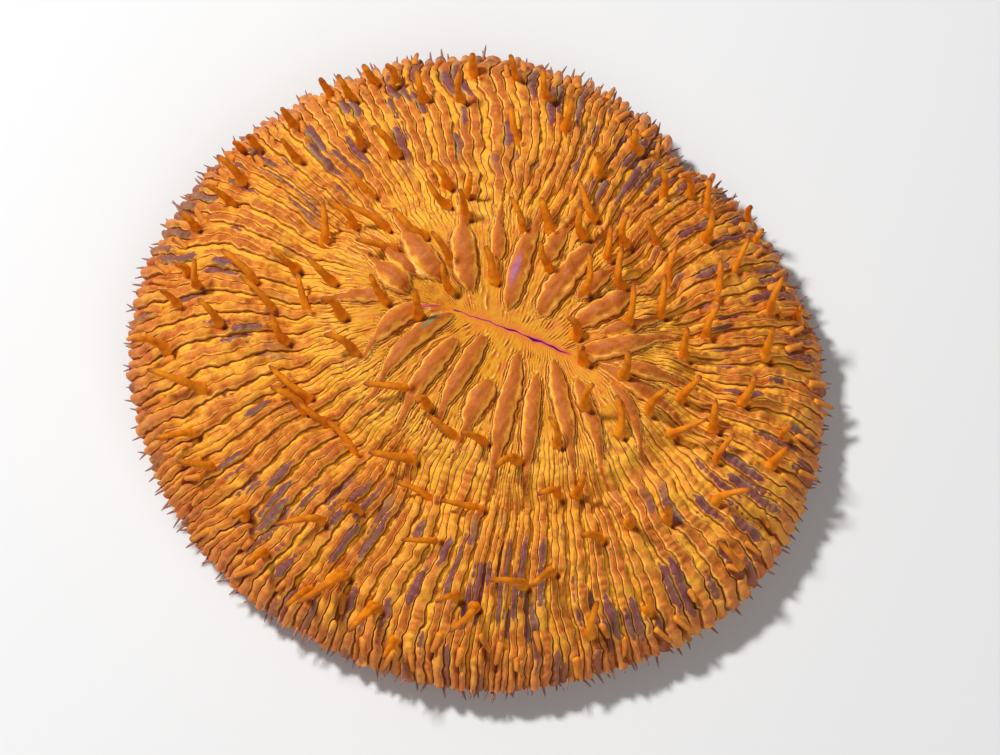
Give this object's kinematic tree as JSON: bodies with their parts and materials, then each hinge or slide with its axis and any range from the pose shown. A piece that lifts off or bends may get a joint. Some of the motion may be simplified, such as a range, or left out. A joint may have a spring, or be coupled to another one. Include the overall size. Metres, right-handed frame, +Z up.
{
  "type": "mushroom coral",
  "caption": "Low domed oval disc of a free-living stony coral, with a slit mouth, swollen lobes around it, ridges out to a toothed rim, and short tentacles.",
  "frame": {"origin": "middle of the bounding box seen from above, on the plane of the flat underside", "axes": "+Z up, out of the mouth side; +X along the disc's longer side; the mouth's slit lies about 21 degrees clockwise from +X seen from above"},
  "size_m": [0.0759, 0.073, 0.0185],
  "materials": {
    "coral_flesh": "living flesh over a limestone skeleton: moist satin, fluorescent orange with yellow ridge edges, purple-grey patches on the ridges and bare pale limestone underneath"
  },
  "bodies": {
    "root": {"mushroom_coral": "coral_flesh"}
  },
  "joints": []
}
